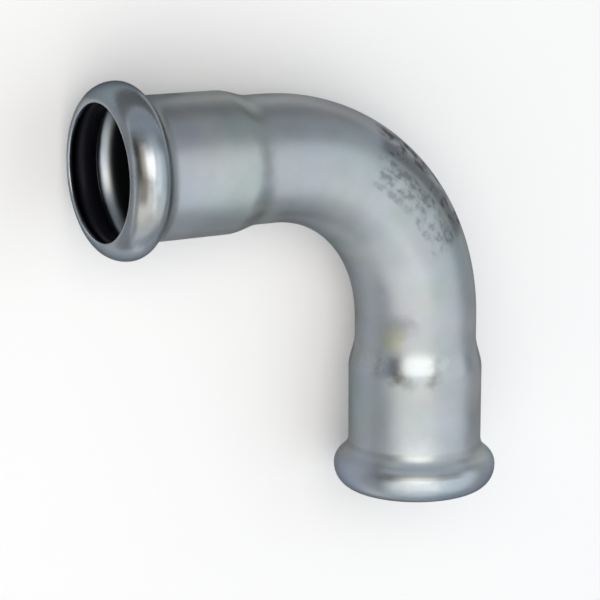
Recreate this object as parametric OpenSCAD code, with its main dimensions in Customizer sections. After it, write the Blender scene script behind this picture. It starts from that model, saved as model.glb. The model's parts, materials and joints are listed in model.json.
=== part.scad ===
// Ninety degree press elbow for 28 mm thin-walled steel tube.
// One tube is bent through a quarter turn. Both ends are widened to a socket and rolled into a
// hollow bead at the mouth, and a rubber seal sits inside each bead.
// The elbow lies on its side, as it comes to rest: on both beads and on the outside of the bend.

/* [Tube] */
// Outside diameter of the bent tube, and of the pipe that goes into each socket
tube_d = 28; // [24:0.5:34]
// Thickness of the sheet, the same all along the tube
wall = 1.2; // [0.8:0.1:1.5]
// Radius of the bend, along the middle of the tube
bend_r = 39.3; // [34:0.1:60]
// Straight tube between the bend and each shoulder
straight_l = 4.6; // [2:0.1:20]

/* [Socket] */
// Space all round between a pipe and the wall of the socket
socket_gap = 0.2; // [0.1:0.05:0.4]
// Length of the straight socket wall, from the bead to the shoulder
socket_l = 16.6; // [10:0.1:30]
// Length of the shoulder, where the socket narrows to the tube and a pipe stops
shoulder_l = 7.6; // [4:0.1:12]

/* [Bead] */
// Height of the bead over the outside of the socket
bead_h = 3.4; // [2.8:0.1:4.2]
// Length of the rounded front of the bead, from the mouth to its highest ring
bead_front_l = 5.1; // [4.2:0.1:6.4]
// Radius of the bead's back, just behind its highest ring
bead_back_r = 3.9; // [3:0.1:4.8]
// Steepest slope of the bead's back, in degrees
bead_slope = 55; // [48:1:64]
// Space all round between a pipe and the edge of the mouth
lip_gap = 0.5; // [0.4:0.05:0.8]

/* [Seal] */
// Width of the seal along the pipe
seal_w = 5; // [3.6:0.1:5.6]
// Space between the seal and the inside of the lip
seal_side_gap = 1; // [0.6:0.1:1.4]
// Slack between the seal and the highest ring inside the bead
seal_top_gap = 0.2; // [0.1:0.05:0.4]
// Space all round between a pipe and the seal before it is pressed
seal_gap = 0.05; // [0.05:0.01:0.1]
// Squareness of the seal's section, from 2 for an oval upwards
seal_squareness = 2.2; // [2:0.1:2.6]

/* [Hidden] */
$fn = 96;

// Steps in each rounded stretch of the leg's outline, and round the seal's section
front_steps = 12;
back_steps = 6;
shoulder_steps = 10;
seal_steps = 32;

// Radii outside the tube, the socket and the bead, and at the edge of the mouth
tube_r = tube_d / 2;
socket_r = tube_r + socket_gap + wall;
bead_r = socket_r + bead_h;
lip_r = tube_r + lip_gap;

// The bead's back turns down to its steepest slope, then a hollow fillet turns it level again
fillet_r = bead_h / (1 - cos(bead_slope)) - bead_back_r;
bead_l = bead_front_l + (bead_back_r + fillet_r) * sin(bead_slope);

// A leg runs from its mouth to the bend, and from there to where the two legs' axes cross
shoulder_at = bead_l + socket_l;
leg_l = shoulder_at + shoulder_l + straight_l;
corner_l = leg_l + bend_r;
bead_to_corner = corner_l - bead_front_l;

// Tilt at rest, where the bend's underside and both beads' undersides meet one plane
bend_reach = bead_to_corner / sqrt(2) - bend_r * (sqrt(2) - 1);
bead_ring_r = bead_r - bead_back_r;
ring_drop = bead_back_r - tube_r;
tilt_span = pow(bend_reach, 2) + pow(bead_ring_r, 2) / 2;
tilt_root = sqrt(pow(bend_reach * ring_drop, 2) - tilt_span * (pow(ring_drop, 2) - pow(bead_ring_r, 2)));
rest_tilt = asin((bend_reach * ring_drop + tilt_root) / tilt_span);
rest_lift = tube_r - sin(rest_tilt) * bend_r * (sqrt(2) - 1);

// How far the bead of a leg reaches along a level axis; part is the share of that leg's own
// direction that lies along the axis
function reach(part) =
    bead_to_corner * part + lip_r * sqrt(1 - pow(part, 2))
    + norm([bead_front_l * part, (bead_r - lip_r) * sqrt(1 - pow(part, 2))]);
plan_shift = (reach((1 + cos(rest_tilt)) / 2) - reach((1 - cos(rest_tilt)) / 2)) / 2;

// Stations on the outside of a leg: distance from the mouth, radius, slope of the outline
front_line = [for (i = [0:front_steps])
    let (turn = 90 * i / front_steps, rise = bead_r - lip_r)
    [bead_front_l * (1 - cos(turn)), lip_r + rise * sin(turn),
        atan2(rise * cos(turn), bead_front_l * sin(turn))]];
back_line = [for (i = [1:back_steps])
    let (turn = bead_slope * i / back_steps)
    [bead_front_l + bead_back_r * sin(turn), bead_ring_r + bead_back_r * cos(turn), -turn]];
fillet_line = [for (i = [back_steps - 1:-1:0])
    let (turn = bead_slope * i / back_steps)
    [bead_l - fillet_r * sin(turn), socket_r + fillet_r * (1 - cos(turn)), -turn]];
shoulder_line = [for (i = [0:shoulder_steps])
    let (share = i / shoulder_steps, drop = socket_r - tube_r)
    [shoulder_at + shoulder_l * share, socket_r - drop * (1 - cos(180 * share)) / 2,
        -atan(drop / shoulder_l * PI / 2 * sin(180 * share))]];
leg_line = concat(front_line, back_line, fillet_line, shoulder_line, [[leg_l, tube_r, 0]]);

// A point at some depth under a station, square to the outline there
function under(station, depth) =
    [station[1] - depth * cos(station[2]), station[0] + depth * sin(station[2])];

// A leg and its seal are drawn upright, with the end that meets the bend at zero and the mouth below
from_bend = [0, -leg_l];

// One straight leg with its socket and bead: the sheet follows the outline at one thickness
module leg() {
    outside = [for (station = leg_line) under(station, 0) + from_bend];
    inside = [for (i = [len(leg_line) - 1:-1:0]) under(leg_line[i], wall) + from_bend];
    rotate_extrude() polygon(concat(outside, inside));
}

// Quarter turn of plain tube between the two legs
module bend() {
    rotate_extrude(angle = 90)
        translate([bend_r, 0])
            difference() {
                circle(r = tube_r);
                circle(r = tube_r - wall);
            }
}

// Rubber ring with a flattened oval section, lying in the hollow of a bead
module seal() {
    inner_r = tube_r + seal_gap;
    outer_r = bead_r - wall - seal_top_gap;
    middle = [(inner_r + outer_r) / 2, wall + seal_side_gap + seal_w / 2] + from_bend;
    half = [(outer_r - inner_r) / 2, seal_w / 2];
    function bulge(value) = sign(value) * pow(abs(value), 2 / seal_squareness);
    rotate_extrude()
        polygon([for (i = [0:seal_steps - 1])
            let (turn = 360 * i / seal_steps)
            middle + [half[0] * bulge(cos(turn)), half[1] * bulge(sin(turn))]]);
}

// Places for leg A, with its mouth towards -X, and for leg B, with its mouth towards -Y
module on_leg_a() {
    translate([-bend_r, 0, 0]) rotate([0, 90, 0]) children();
}
module on_leg_b() {
    translate([0, -bend_r, 0]) rotate([-90, 0, 0]) children();
}

// Lays the level elbow down as it rests, over the middle of its own plan
module lay_down() {
    translate([plan_shift, plan_shift, rest_lift])
        rotate(a = rest_tilt, v = [-1, 1, 0])
            children();
}

// The one-piece steel elbow
module elbow_body() {
    color([0.72, 0.73, 0.74])
        lay_down()
            union() {
                on_leg_a() leg();
                translate([-bend_r, -bend_r, 0]) bend();
                on_leg_b() leg();
            }
}

// The seal in each mouth
module seal_ring_a() {
    color([0.06, 0.06, 0.07]) lay_down() on_leg_a() seal();
}
module seal_ring_b() {
    color([0.06, 0.06, 0.07]) lay_down() on_leg_b() seal();
}

elbow_body();
seal_ring_a();
seal_ring_b();
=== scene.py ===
# Press elbow for 28 mm steel tube, lying on its side on a plain pale floor.

import json
import math

import bmesh
import bpy
from mathutils import Matrix, Vector


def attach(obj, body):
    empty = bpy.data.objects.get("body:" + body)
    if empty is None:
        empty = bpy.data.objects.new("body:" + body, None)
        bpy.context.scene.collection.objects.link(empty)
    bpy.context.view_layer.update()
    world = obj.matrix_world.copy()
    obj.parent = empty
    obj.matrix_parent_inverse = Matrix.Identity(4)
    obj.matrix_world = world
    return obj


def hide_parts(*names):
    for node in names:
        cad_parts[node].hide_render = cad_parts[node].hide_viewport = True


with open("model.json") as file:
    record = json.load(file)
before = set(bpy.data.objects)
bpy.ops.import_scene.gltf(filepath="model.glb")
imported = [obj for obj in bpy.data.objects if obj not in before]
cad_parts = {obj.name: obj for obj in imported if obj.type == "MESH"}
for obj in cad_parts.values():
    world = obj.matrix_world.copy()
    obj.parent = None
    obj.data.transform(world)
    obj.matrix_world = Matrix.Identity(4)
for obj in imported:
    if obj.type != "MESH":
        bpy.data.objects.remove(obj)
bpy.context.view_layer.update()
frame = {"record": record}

# Resting place of the elbow. The axes of its two sockets cross at one corner. Everything is shaped
# level, with that corner at zero, mouth A towards -X and mouth B towards -Y, and then laid down.
sockets = {mount["name"]: mount for mount in frame["record"]["mounts"]}
middle_a, middle_b = (Vector(sockets[name]["pos_m"]) for name in ("socket_a", "socket_b"))
way_a, way_b = (Vector(sockets[name]["axis"]) for name in ("socket_a", "socket_b"))
corner = middle_a - way_a * ((middle_a - middle_b).length / (way_a - way_b).length)
lay_down = Matrix((-way_a, -way_b, way_a.cross(way_b))).transposed().to_4x4()
lay_down.translation = corner

# Camera. It sees the elbow as the photograph does, and so looks down on it as it lies. The angles
# turn the level elbow, stood on mouth B, into the camera's own right, far and up directions.
MM = 0.001
picture_px = 600
focal_px = 1983
sensor_mm = 36
nearest_seen = 10 * MM
elbow_yaw = math.radians(31.27)
elbow_pitch = math.radians(12.26)
elbow_roll = math.radians(-0.2)
corner_from_camera = Vector((26.46, 448.9, 35.08)) * MM


def add_object(name, data):
    """A new object in the scene, from its camera, mesh or lamp data."""
    made = bpy.data.objects.new(name, data)
    bpy.context.scene.collection.objects.link(made)
    return made


turned = (
    Matrix.Rotation(elbow_roll, 3, "Y")
    @ Matrix.Rotation(elbow_pitch, 3, "X")
    @ Matrix.Rotation(elbow_yaw, 3, "Z")
)
# rows: the stood elbow's right, far and up directions as it now lies
stood = Matrix((-way_a, -way_a.cross(way_b), -way_b))
to_room = stood.transposed() @ turned.transposed()
view_right, view_far, view_up = to_room.transposed()
camera_data = bpy.data.cameras.new("camera")
camera_data.sensor_width = sensor_mm
camera_data.lens = sensor_mm * focal_px / picture_px
camera_data.clip_start = nearest_seen
camera = add_object("camera", camera_data)
camera.matrix_world = Matrix((view_right, view_up, -view_far)).transposed().to_4x4()
camera.location = corner - to_room @ corner_from_camera
bpy.context.scene.camera = camera


# Elbow body: one length of steel tube, bent through a quarter turn. Each end is widened to a socket
# and rolled into a hollow bead, all in one sheet, and then bright zinc is plated all over it. Half
# is shaped here, from mouth A to the middle of the bend, and mirrored.
wall = 1.2 * MM
tube_r = 14 * MM
bend_r = 39.3 * MM
straight_l = 4.6 * MM
socket_r = 15.4 * MM
socket_l = 16.6 * MM
shoulder_l = 7.6 * MM
bead_r = 18.8 * MM
bead_front_l = 5.1 * MM
bead_back_r = 3.9 * MM
bead_slope = math.radians(55)
lip_r = 14.5 * MM
lip_round = 0.4 * MM
lip_steps, front_steps, back_steps, shoulder_steps = 4, 12, 10, 16
around_steps, half_bend_steps = 160, 30
# gaps in m that count as none, within one half and where the two halves meet
same_point, same_seam = 1e-7, 1e-6

fillet_r = (bead_r - socket_r) / (1 - math.cos(bead_slope)) - bead_back_r
bead_l = bead_front_l + (bead_back_r + fillet_r) * math.sin(bead_slope)
shoulder_at = bead_l + socket_l
leg_l = shoulder_at + shoulder_l + straight_l
corner_l = leg_l + bend_r
half_l = leg_l + bend_r * math.pi / 4


def leg_stations():
    """Distance from the mouth, radius and slope along the outside of a leg, from its mouth."""
    for i in range(front_steps + 1):
        turn = math.pi / 2 * i / front_steps
        rise = bead_r - lip_r
        slope = math.atan2(rise * math.cos(turn), bead_front_l * math.sin(turn))
        yield bead_front_l * (1 - math.cos(turn)), lip_r + rise * math.sin(turn), slope
    for i in range(1, back_steps + 1):
        turn = bead_slope * i / back_steps
        ring = bead_r - bead_back_r
        yield bead_front_l + bead_back_r * math.sin(turn), ring + bead_back_r * math.cos(turn), -turn
    for i in range(back_steps - 1, -1, -1):
        turn = bead_slope * i / back_steps
        yield bead_l - fillet_r * math.sin(turn), socket_r + fillet_r * (1 - math.cos(turn)), -turn
    for i in range(shoulder_steps + 1):
        share = i / shoulder_steps
        drop = socket_r - tube_r
        slope = -math.atan(drop / shoulder_l * math.pi / 2 * math.sin(math.pi * share))
        radius = socket_r - drop * (1 - math.cos(math.pi * share)) / 2
        yield shoulder_at + shoulder_l * share, radius, slope
    yield leg_l, tube_r, 0.0


def under(station, depth):
    """The point at some depth under a station of leg A, square to the outline there."""
    along, radius, slope = station
    return Vector((
        along + depth * math.sin(slope) - corner_l,
        0,
        radius - depth * math.cos(slope),
    ))


def straightened(point):
    """Where a point of the level elbow lay before the bend: along the tube, outwards and up."""
    x, y = point.x + bend_r, point.y + bend_r
    quarter = math.pi / 4 * bend_r
    if x < 0:
        return -quarter + x, point.y, point.z
    if y < 0:
        return quarter - y, point.x, point.z
    return quarter - bend_r * math.atan2(y, x), math.hypot(x, y) - bend_r, point.z


def add_shape(name, shape):
    """A new object in the scene, from a finished shape."""
    mesh = bpy.data.meshes.new(name)
    shape.to_mesh(mesh)
    shape.free()
    return add_object(name, mesh)


shell = bmesh.new()
inner_face = shell.verts.layers.float.new("inner_face")
stations = list(leg_stations())
outline = []
for depth, is_inner, row in ((wall, 1.0, reversed(stations)), (0, 0.0, stations)):
    for station in row:
        vert = shell.verts.new(under(station, depth))
        vert[inner_face] = is_inner
        outline.append(vert)
edges = [shell.edges.new(pair) for pair in zip(outline, outline[1:])]
bmesh.ops.spin(
    shell, geom=outline + edges, cent=(0, 0, 0), axis=(1, 0, 0), dvec=(0, 0, 0),
    angle=2 * math.pi, steps=around_steps, use_merge=True, use_duplicate=False,
)
rims = [edge for edge in shell.edges if edge.is_boundary]
rim_verts = [vert for vert in shell.verts if vert.is_boundary]
bmesh.ops.spin(
    shell, geom=rim_verts + rims, cent=(-bend_r, -bend_r, 0), axis=(0, 0, 1), dvec=(0, 0, 0),
    angle=-math.pi / 4, steps=half_bend_steps, use_merge=False, use_duplicate=False,
)
bmesh.ops.remove_doubles(shell, verts=shell.verts, dist=same_point)
lip_edges = [
    edge for edge in shell.edges
    if all(abs(math.hypot(vert.co.y, vert.co.z) - lip_r) < same_seam for vert in edge.verts)
    and all(vert.co.x < wall + same_seam - corner_l for vert in edge.verts)
    and abs(edge.verts[0].co.x - edge.verts[1].co.x) < same_point
]
bmesh.ops.bevel(
    shell, geom=lip_edges, offset=lip_round, offset_type="OFFSET", segments=lip_steps, profile=0.5,
    affect="EDGES", material=-1, clamp_overlap=True,
)
other_half = bmesh.ops.duplicate(shell, geom=shell.verts[:] + shell.edges[:] + shell.faces[:])
swap_legs = Matrix(((0, 1, 0, 0), (1, 0, 0, 0), (0, 0, 1, 0), (0, 0, 0, 1)))
bmesh.ops.transform(
    shell, matrix=swap_legs,
    verts=[part for part in other_half["geom"] if isinstance(part, bmesh.types.BMVert)],
)
bmesh.ops.remove_doubles(shell, verts=shell.verts, dist=same_seam)
bmesh.ops.recalc_face_normals(shell, faces=shell.faces)
before_bend = shell.verts.layers.float_vector.new("before_bend")
for vert in shell.verts:
    vert[before_bend] = Vector(straightened(vert.co))
for face in shell.faces:
    face.smooth = True
bmesh.ops.transform(shell, matrix=lay_down, verts=shell.verts)
body = add_shape("elbow_tube", shell)

# The plating: satin and a little cloudy on the tube, burnished where the rolls and the widening
# tool rubbed the beads and the shoulders. Its pattern follows the tube as it lay before the bend.
satin_colour = (0.478, 0.495, 0.5)
burnished_colour = (0.452, 0.49, 0.525)
stain_colour = (0.49, 0.485, 0.33)
# a tan tint that also dims a highlight, then a painted highlight, smudges with painted shade, and
# brown painted shade
tan_and_painted_shade_colour = (0.40, 0.385, 0.345)
painted_highlight_colour = (0.735, 0.765, 0.79)
smudge_and_painted_shade_colour = (0.20, 0.205, 0.19)
painted_shade_brown_colour = (0.15, 0.14, 0.12)
ink_colour = (0.05, 0.052, 0.056)
# painted shade inside the bore and the beads, and a painted reflection in bead A
painted_bore_shade_colour = (0.07, 0.073, 0.08)
painted_bead_inside_shade_colour = (0.14, 0.152, 0.185)
painted_crescent_colour = (0.76, 0.83, 1.0)
zinc_edge_tint = 0.28

steel = bpy.data.materials.new("satin_zinc")
steel.use_nodes = True
tree = steel.node_tree


def node(tree, kind, values=(), **settings):
    """A new node with some sockets set, by their names or numbers, and some settings."""
    made = tree.nodes.new(kind)
    for name, value in settings.items():
        setattr(made, name, value)
    for socket, value in dict(values).items():
        made.inputs[socket].default_value = value
    return made


def fill(tree, socket, source):
    """Link another node's output to a socket, or set a plain value on it."""
    if isinstance(source, bpy.types.NodeSocket):
        tree.links.new(source, socket)
    else:
        socket.default_value = source


def math_node(tree, operation, *sources):
    """The result of one sum, from other nodes' outputs and plain numbers."""
    made = node(tree, "ShaderNodeMath", operation=operation)
    for socket, source in zip(made.inputs, sources):
        fill(tree, socket, source)
    return made.outputs["Value"]


def vector_node(tree, operation, *sources):
    """The result of one sum with vectors. A distance is a plain number."""
    made = node(tree, "ShaderNodeVectorMath", operation=operation)
    for socket, source in zip(made.inputs, sources):
        fill(tree, socket, source)
    return made.outputs["Value" if operation == "DISTANCE" else "Vector"]


def product(tree, first, *others):
    """Several values, multiplied together one after the other."""
    for other in others:
        first = math_node(tree, "MULTIPLY", first, other)
    return first


def fade(tree, value, zero_at, one_at):
    """Smoothly from 0 to 1 as a value goes from one place to another."""
    made = node(
        tree, "ShaderNodeMapRange", {"From Min": zero_at, "From Max": one_at},
        interpolation_type="SMOOTHSTEP",
    )
    fill(tree, made.inputs["Value"], value)
    return made.outputs["Result"]


def band(tree, value, middle, half_w, core):
    """1 where a value is no further than the core from the middle, and smoothly to 0 at half_w."""
    off_middle = math_node(tree, "ABSOLUTE", math_node(tree, "SUBTRACT", value, middle))
    return fade(tree, off_middle, half_w, core)


def clouds(tree, where, feature, stretch=(1, 1, 1), detail=3):
    """Noise whose features are about one size in metres, stretched along the tube or round it."""
    scaled = node(tree, "ShaderNodeMapping", {"Scale": stretch})
    made = node(tree, "ShaderNodeTexNoise", {"Scale": 1 / feature, "Detail": detail})
    tree.links.new(where, scaled.inputs["Vector"])
    tree.links.new(scaled.outputs["Vector"], made.inputs["Vector"])
    return made


def mix_colour(tree, share, first, second, kind="MIX"):
    """Two colours mixed by a share."""
    made = node(tree, "ShaderNodeMix", data_type="RGBA", blend_type=kind)
    for name, source in (("Factor_Float", share), ("A_Color", first), ("B_Color", second)):
        fill(tree, next(one for one in made.inputs if one.identifier == name), source)
    return next(one for one in made.outputs if one.identifier == "Result_Color")


skin = tree.nodes["Principled BSDF"]
on_tube = node(tree, "ShaderNodeAttribute", attribute_name="before_bend").outputs["Vector"]
place = node(tree, "ShaderNodeSeparateXYZ")
tree.links.new(on_tube, place.inputs["Vector"])
along, outward, up = place.outputs
to_mouth = math_node(tree, "SUBTRACT", half_l, math_node(tree, "ABSOLUTE", along))

# how far each place belongs to leg A or B, to a bead, or to the band of a shoulder that the
# widening tool rubbed, and rubbed half as much on leg A
leg_change = 1 * MM
bead_rub_stops, bead_rub_whole = bead_l - 2 * MM, bead_l - 5 * MM
shoulder_rub_at = shoulder_at + 2.9 * MM
shoulder_rub_half_w, shoulder_rub_core = 3.6 * MM, 1.2 * MM
leg_a_rub = 0.5
on_leg_b = fade(tree, along, -leg_change, leg_change)
on_leg_a = math_node(tree, "SUBTRACT", 1.0, on_leg_b)
on_bead = fade(tree, to_mouth, bead_rub_stops, bead_rub_whole)
on_bead_b = product(tree, on_bead, on_leg_b)
on_shoulder = product(
    tree,
    band(tree, to_mouth, shoulder_rub_at, shoulder_rub_half_w, shoulder_rub_core),
    math_node(tree, "MULTIPLY_ADD", on_leg_b, 1 - leg_a_rub, leg_a_rub),
)
burnished = math_node(tree, "MAXIMUM", on_bead, on_shoulder)

# cloudy brightness, and faint tints of the passivated film
cloud_size, cloud_swing, darkest_cloud = 9 * MM, 0.36, 0.82
haze_size, haze_swing, least_haze = 14 * MM, (0.2, 0.12, 0.24), (0.9, 0.94, 0.88)
cloud = clouds(tree, on_tube, cloud_size, detail=4).outputs["Fac"]
haze = clouds(tree, on_tube, haze_size, detail=2).outputs["Color"]
lightness = math_node(tree, "MULTIPLY_ADD", cloud, cloud_swing, darkest_cloud)
tint = vector_node(tree, "MULTIPLY_ADD", haze, haze_swing, least_haze)
film = vector_node(tree, "MULTIPLY", tint, lightness)
rubbed = mix_colour(tree, on_bead, (*satin_colour, 1), (*burnished_colour, 1))
colour = mix_colour(tree, 1.0, rubbed, film, kind="MULTIPLY")

# ragged spots on the legs, the shoulders and the beads: a stain, smudges, a tan tint that also dims
# a highlight, and painted shade and painted highlights beside the highlights of the shoulders and
# the beads: the place along the tube, outwards and up, and the radius, in mm, and then the strength
# and colour
ragged_size, ragged_reach = 2.5 * MM, 4 * MM
spots_and_painted_light = (
    ((33.8, -11.5, 8.0), 4.8, 0.8, stain_colour),
    ((30.2, -10.3, 9.6), 5.0, 0.5, smudge_and_painted_shade_colour),
    ((42.4, -11.6, 10.0), 3.3, 0.9, painted_shade_brown_colour),
    ((38.6, -12.7, 7.8), 3.4, 0.55, painted_highlight_colour),
    ((43.2, -10.2, 11.6), 3.4, 0.55, smudge_and_painted_shade_colour),
    ((42.9, -5.0, 14.5), 3.0, 0.62, smudge_and_painted_shade_colour),
    ((39.5, -3.9, 14.7), 3.6, 0.5, painted_highlight_colour),
    ((64.9, -15.9, 9.7), 4.5, 0.45, smudge_and_painted_shade_colour),
    ((-69.2, -1.1, 17.9), 3.2, 0.5, smudge_and_painted_shade_colour),
    ((-70.4, 1.0, 16.6), 4.2, 0.9, painted_shade_brown_colour),
    ((-70.2, 7.5, 14.9), 4.4, 0.85, painted_shade_brown_colour),
    ((-68.8, -7.0, 16.8), 10.5, 0.75, tan_and_painted_shade_colour),
    ((63.0, -9.0, 15.1), 9, 0.85, painted_highlight_colour),
    ((39.8, -8.1, 12.4), 6, 1.0, burnished_colour),
    ((-39.0, 3.2, 14.2), 3.4, 0.34, smudge_and_painted_shade_colour),
    ((-39.1, 0.0, 14.7), 3.4, 0.3, smudge_and_painted_shade_colour),
)
recentred = vector_node(tree, "SUBTRACT", on_tube, (ragged_reach / 2,) * 3)
uneven = clouds(tree, on_tube, ragged_size, detail=3).outputs["Color"]
ragged = vector_node(tree, "MULTIPLY_ADD", uneven, (ragged_reach,) * 3, recentred)
for spot, radius_mm, strength, shade in spots_and_painted_light:
    away = vector_node(tree, "DISTANCE", ragged, Vector(spot) * MM)
    near = product(tree, fade(tree, away, radius_mm * MM, 0), strength)
    colour = mix_colour(tree, near, colour, (*shade, 1))

# painted shade: a thin dark line in the crease behind each bead
crease_at = bead_l - 1.2 * MM
crease_half_w, crease_core, crease_strength = 1 * MM, 0.2 * MM, 0.2
painted_crease_shade = product(
    tree, band(tree, to_mouth, crease_at, crease_half_w, crease_core), crease_strength
)
colour = mix_colour(tree, painted_crease_shade, colour, (*smudge_and_painted_shade_colour, 1))

# painted highlights and painted shade in lines round the upper side of the beads, which move and
# shape the
# highlights there: the leg, how far from the mouth and half the width in mm, the middle outwards and
# half the reach round the bead in mm, and then the strength and colour
upper_side_from, upper_side_whole = 7 * MM, 11 * MM
line_core, reach_core = 0.2, 0.6
painted_light_lines = (
    (on_leg_a, 0, 1.15, 0, 40, 0.7, painted_highlight_colour),
    (on_leg_a, 1.6, 1.2, 1.7, 7.5, 0.85, painted_shade_brown_colour),
    (on_leg_a, 4.2, 1.3, 3.5, 7, 0.5, painted_highlight_colour),
    (on_leg_a, 6.3, 1.4, 3.5, 7, 0.4, smudge_and_painted_shade_colour),
    (on_leg_b, 8.5, 1.6, -7.5, 11, 0.75, painted_highlight_colour),
    (on_leg_b, 6.6, 1, -7.5, 10, 0.6, smudge_and_painted_shade_colour),
)
on_upper_side = fade(tree, up, upper_side_from, upper_side_whole)
for leg, from_mouth, half_w, middle, half_reach, strength, shade in painted_light_lines:
    across = band(tree, to_mouth, from_mouth * MM, half_w * MM, half_w * line_core * MM)
    around = band(tree, outward, middle * MM, half_reach * MM, half_reach * reach_core * MM)
    line = product(tree, across, around, on_upper_side, leg, strength)
    colour = mix_colour(tree, line, colour, (*shade, 1))

# a worn stamp across the bend: plain flecks in rows, the outermost the least worn, and a plain
# smear over it. Each row has the angle of its middle and half its width in degrees, from the
# outside of the bend upwards, and then its strength.
stamp_from, stamp_to, stamp_edge = -13 * MM, 15 * MM, 3 * MM
stamp_rows = ((43, 18, 1), (64, 32, 0.3), (70, 8, 0.7), (82, 6, 0.65), (92, 5, 0.5))
row_edge_deg = 3
smear_deg, smear_half_deg, smear_core_deg, smear_strength = 53, 13, 3, 0.66
fleck_size, fleck_from, fleck_whole = 1.35 * MM, 0.34, 0.66
fleck_swing, faintest_fleck = 0.62, 0.34
worn_size, worn_away, worn_least = 3.2 * MM, 0.32, 0.54
ink_strength = 0.76
angle = product(tree, math_node(tree, "ARCTAN2", up, outward), 180 / math.pi)
in_rows = 0.0
for row_deg, half_deg, strength in stamp_rows:
    row = product(
        tree, band(tree, angle, row_deg, half_deg, half_deg - row_edge_deg), strength
    )
    in_rows = math_node(tree, "MAXIMUM", in_rows, row)
in_stretch = product(
    tree,
    fade(tree, along, stamp_from, stamp_from + stamp_edge),
    fade(tree, along, stamp_to, stamp_to - stamp_edge),
)
fleck_noise = clouds(tree, on_tube, fleck_size, detail=1).outputs["Fac"]
flecks = fade(tree, fleck_noise, fleck_from, fleck_whole)
flecks = math_node(tree, "MULTIPLY_ADD", flecks, fleck_swing, faintest_fleck)
worn_noise = clouds(tree, on_tube, worn_size, detail=3).outputs["Fac"]
worn = fade(tree, worn_noise, worn_away, worn_least)
smear = product(
    tree, band(tree, angle, smear_deg, smear_half_deg, smear_core_deg), smear_strength
)
ink = math_node(tree, "MAXIMUM", product(tree, flecks, worn, in_rows), smear)
ink = product(tree, ink, in_stretch, ink_strength)
colour = mix_colour(tree, ink, colour, (*ink_colour, 1))

# inside: painted shade, dark in the beads and darker still in the bore behind them, and a painted
# reflection, a bright crescent in one place of bead A
crescent_at = Vector((-62.5, -3.2, -14.7)) * MM
crescent_r, crescent_core_r = 7.4 * MM, 2.5 * MM
bore_from, bore_whole = bead_l - 2.6 * MM, bead_l - 1 * MM
inside = node(tree, "ShaderNodeAttribute", attribute_name="inner_face").outputs["Fac"]
painted_crescent = fade(tree, vector_node(tree, "DISTANCE", on_tube, crescent_at), crescent_r, crescent_core_r)
bead_inside_paint = mix_colour(tree, painted_crescent, (*painted_bead_inside_shade_colour, 1), (*painted_crescent_colour, 1))
colour = mix_colour(tree, product(tree, inside, on_bead), colour, bead_inside_paint)
in_bore = product(tree, inside, fade(tree, to_mouth, bore_from, bore_whole))
colour = mix_colour(tree, in_bore, colour, (*painted_bore_shade_colour, 1))
tree.links.new(colour, skin.inputs["Base Color"])

# satin or burnished, bead B left coarser by its roll, and all of it a little uneven
satin_roughness, burnished_roughness, coarse_roughness = 0.41, 0.27, 0.38
uneven_gloss = 0.16
gloss = math_node(
    tree, "MULTIPLY_ADD", burnished, burnished_roughness - satin_roughness, satin_roughness
)
gloss = math_node(
    tree, "MULTIPLY_ADD", on_bead_b, coarse_roughness - burnished_roughness, gloss
)
gloss = math_node(
    tree, "ADD", gloss, math_node(tree, "MULTIPLY_ADD", cloud, uneven_gloss, -uneven_gloss / 2)
)
tree.links.new(gloss, skin.inputs["Roughness"])

# grain and draw marks along the tube, none of them on the shoulders, and roll marks round the beads
grain_size, draw_mark_w, roll_mark_w = 0.45 * MM, 0.5 * MM, 0.35 * MM
along_tube, around_bead = (0.03, 1, 1), (1, 0.02, 0.02)
tube_mark_share, roll_mark_share = 0.6, 0.3
mark_depth = 0.006 * MM
smooth_half_w, smooth_core = shoulder_l / 2 + 4 * MM, shoulder_l / 2 + 1 * MM
grain = clouds(tree, on_tube, grain_size, detail=2).outputs["Fac"]
drawn = clouds(tree, on_tube, draw_mark_w, stretch=along_tube, detail=3).outputs["Fac"]
rolled = clouds(tree, on_tube, roll_mark_w, stretch=around_bead, detail=2).outputs["Fac"]
smooth_shoulder = band(
    tree, to_mouth, shoulder_at + shoulder_l / 2, smooth_half_w, smooth_core
)
unmarked = math_node(tree, "MAXIMUM", on_bead, smooth_shoulder)
tube_marks = math_node(
    tree, "ADD", product(tree, grain, tube_mark_share), product(tree, drawn, tube_mark_share)
)
relief = math_node(
    tree, "ADD",
    product(tree, tube_marks, math_node(tree, "SUBTRACT", 1.0, unmarked)),
    product(tree, rolled, on_bead, roll_mark_share),
)
marks = node(tree, "ShaderNodeBump", {"Strength": 1, "Distance": mark_depth})
tree.links.new(relief, marks.inputs["Height"])
tree.links.new(marks.outputs["Normal"], skin.inputs["Normal"])
skin.inputs["Metallic"].default_value = 1
skin.inputs["Specular Tint"].default_value = (zinc_edge_tint, zinc_edge_tint, zinc_edge_tint, 1)
body.data.materials.append(steel)
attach(body, "root")
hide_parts("elbow_body")


# Seals: a moulded ring of black rubber in each bead, a little oily, standing just proud of the
# socket's wall so that it closes on the pipe.
seal_inner_r = 14.05 * MM
seal_outer_r = 17.4 * MM
seal_w = 5 * MM
seal_at = 4.7 * MM
seal_power = 2.2
seal_steps = 40
oil_size = 6 * MM
dry_colour, oily_colour = (0.003, 0.003, 0.006, 1), (0.007, 0.007, 0.011, 1)
least_roughness, roughness_swing = 0.25, 0.3
rubber_shine = 0.12

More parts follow.
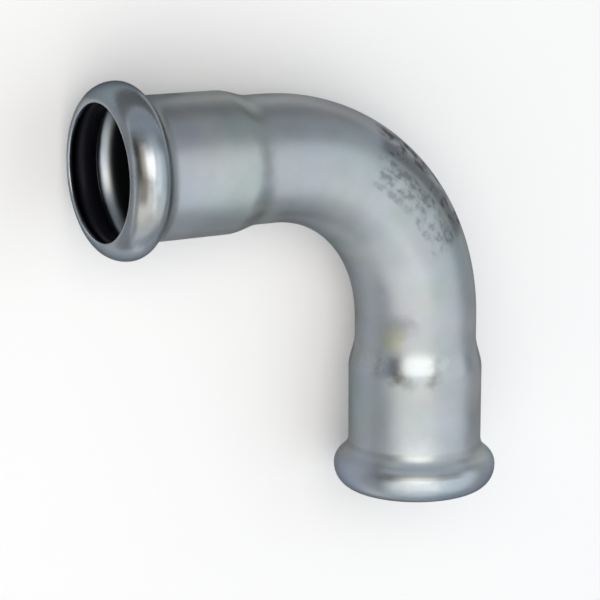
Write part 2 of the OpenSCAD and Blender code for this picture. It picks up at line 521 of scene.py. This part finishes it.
rubber = bpy.data.materials.new("black_rubber")
rubber.use_nodes = True
rubber_tree = rubber.node_tree
rubber_skin = rubber_tree.nodes["Principled BSDF"]
in_rubber = node(rubber_tree, "ShaderNodeTexCoord").outputs["Object"]
oil = clouds(rubber_tree, in_rubber, oil_size).outputs["Fac"]
fill(
    rubber_tree, rubber_skin.inputs["Roughness"],
    math_node(rubber_tree, "MULTIPLY_ADD", oil, roughness_swing, least_roughness),
)
fill(
    rubber_tree, rubber_skin.inputs["Base Color"],
    mix_colour(rubber_tree, oil, dry_colour, oily_colour),
)
rubber_skin.inputs["Specular IOR Level"].default_value = rubber_shine


def fuller(share):
    """A sine or cosine drawn out a little, which makes an oval fuller towards its corners."""
    return math.copysign(abs(share) ** (2 / seal_power), share)


def seal_ring(name, node_name, turn):
    """One ring, shaped for mouth A and turned to its own mouth."""
    ring = bmesh.new()
    middle_r = (seal_inner_r + seal_outer_r) / 2
    half_h = (seal_outer_r - seal_inner_r) / 2
    section = []
    for i in range(seal_steps):
        angle = 2 * math.pi * i / seal_steps
        section.append(ring.verts.new((
            seal_at - corner_l + seal_w / 2 * fuller(math.sin(angle)),
            0,
            middle_r + half_h * fuller(math.cos(angle)),
        )))
    loop = [ring.edges.new(pair) for pair in zip(section, section[1:] + section[:1])]
    bmesh.ops.spin(
        ring, geom=section + loop, cent=(0, 0, 0), axis=(1, 0, 0), dvec=(0, 0, 0),
        angle=2 * math.pi, steps=around_steps, use_merge=True, use_duplicate=False,
    )
    bmesh.ops.remove_doubles(ring, verts=ring.verts, dist=same_point)
    bmesh.ops.transform(ring, matrix=lay_down @ turn, verts=ring.verts)
    bmesh.ops.recalc_face_normals(ring, faces=ring.faces)
    for face in ring.faces:
        face.smooth = True
    seal = add_shape(name, ring)
    seal.data.materials.append(rubber)
    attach(seal, "root")
    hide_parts(node_name)


seal_ring("seal_a", "seal_ring_a", Matrix.Identity(4))
seal_ring("seal_b", "seal_ring_b", swap_legs)


# Floor: plain pale paint, wider than any view of it. It glows a little where it is seen or
# mirrored, so that it looks nearly white without more light on the elbow.
floor_w = 6
paint_colour = (0.92, 0.89, 0.885)
paint_glow = 0.06


def flat(name, width, height, place):
    """A flat rectangle, stretched from a square 1 m wide and put in its place."""
    shape = bmesh.new()
    bmesh.ops.create_grid(shape, x_segments=1, y_segments=1, size=0.5)
    bmesh.ops.scale(shape, vec=(width, height, 1), verts=shape.verts)
    bmesh.ops.transform(shape, matrix=place, verts=shape.verts)
    return add_shape(name, shape)


def matt(name, colour):
    """A material with one plain colour and no shine."""
    material = bpy.data.materials.new(name)
    material.use_nodes = True
    skin = material.node_tree.nodes["Principled BSDF"]
    skin.inputs["Base Color"].default_value = (*colour, 1)
    skin.inputs["Roughness"].default_value = 1
    skin.inputs["Specular IOR Level"].default_value = 0
    return material


floor = flat("floor", floor_w, floor_w, Matrix.Identity(4))
paint = matt("pale_paint", paint_colour)
paint_tree = paint.node_tree
paint_skin = paint_tree.nodes["Principled BSDF"]
ray = node(paint_tree, "ShaderNodeLightPath").outputs
mirrored = math_node(paint_tree, "MAXIMUM", ray["Is Glossy Ray"], ray["Is Transmission Ray"])
seen = math_node(paint_tree, "MAXIMUM", ray["Is Camera Ray"], mirrored)
fill(
    paint_tree, paint_skin.inputs["Emission Strength"], product(paint_tree, seen, paint_glow)
)
paint_skin.inputs["Emission Color"].default_value = (1, 1, 1, 1)
floor.data.materials.append(paint)


# Light: a grey room and soft lamps, placed by their angles to the right of the camera and above it,
# and matt cards that only the metal mirrors, which give its edges depth. All sizes here are in m.
room_colour = (0.358, 0.405, 0.448)
lamp_distance, window_distance = 0.7, 0.5
aim = corner + lay_down.to_3x3() @ Vector((-0.02, -0.02, 0))

room = bpy.data.worlds.new("room")
room.use_nodes = True
bpy.context.scene.world = room
room.node_tree.nodes["Background"].inputs["Color"].default_value = (*room_colour, 1)
room.node_tree.nodes["Background"].inputs["Strength"].default_value = 1


def beside_camera(to_right, above, distance):
    """Place and turn of something that faces the elbow from some angle beside the camera."""
    side, rise = math.radians(to_right), math.radians(above)
    way = (
        view_right * (math.sin(side) * math.cos(rise))
        + view_up * math.sin(rise)
        - view_far * (math.cos(side) * math.cos(rise))
    )
    across = view_up.cross(way).normalized()
    place = Matrix((across, way.cross(across), way)).transposed().to_4x4()
    place.translation = aim + way * distance
    return place


def soft_lamp(name, to_right, above, width, height, radiance, colour):
    """A rectangular lamp that shines on the elbow from some angle beside the camera."""
    data = bpy.data.lights.new(name, "AREA")
    data.shape = "RECTANGLE"
    data.size = width
    data.size_y = height
    data.energy = radiance * math.pi * width * height
    data.color = colour
    lamp = add_object(name, data)
    lamp.matrix_world = beside_camera(to_right, above, lamp_distance)
    lamp.visible_camera = False


def matt_card(name, width, height, place, shade):
    """A matt card that only the metal mirrors."""
    card = flat(name, width, height, place)
    card.data.materials.append(matt(name, shade))
    card.visible_camera = card.visible_diffuse = card.visible_shadow = False


# angles right of the camera and above it, width, height, radiance and colour
soft_lamp("front_lamp", 4, 3, 0.7, 0.42, 1.9, (1.0, 0.945, 0.84))
soft_lamp("low_lamp", -6, -39, 1.0, 0.56, 0.9, (1.0, 0.965, 0.9))
soft_lamp("side_lamp", 66, -18, 0.76, 1.2, 0.64, (0.93, 0.985, 1.0))
soft_lamp("under_lamp", 0, -76, 0.8, 0.36, 0.5, (1, 1, 1))

# width, height, place and colour: one card stands beside the camera, and the rest lie on the floor
window = beside_camera(-40, 5, window_distance)
matt_card("window_card", 0.15, 0.19, window, (0.08, 0.08, 0.08))
lying_cards = (
    ("left_card", 0.25, 0.4, (-0.195, -0.05, 0.001), (0.23, 0.24, 0.26)),
    ("crook_card", 0.075, 0.12, (-0.025, -0.035, 0.0005), (0.59, 0.62, 0.67)),
    ("far_card", 0.4, 0.25, (-0.02, 0.198, 0.001), (0.18, 0.18, 0.19)),
    ("near_card", 0.06, 0.027, (-0.053, 0.0595, 0.001), (0.5, 0.53, 0.56)),
    ("right_card", 0.2, 0.5, (0.235, -0.06, 0.001), (0.62, 0.62, 0.63)),
    ("front_card", 0.13, 0.2, (0.065, -0.165, 0.001), (0.4, 0.42, 0.44)),
)
for name, width, height, card_middle, shade in lying_cards:
    matt_card(name, width, height, Matrix.Translation(card_middle), shade)

bpy.context.scene.view_settings.view_transform = "Standard"
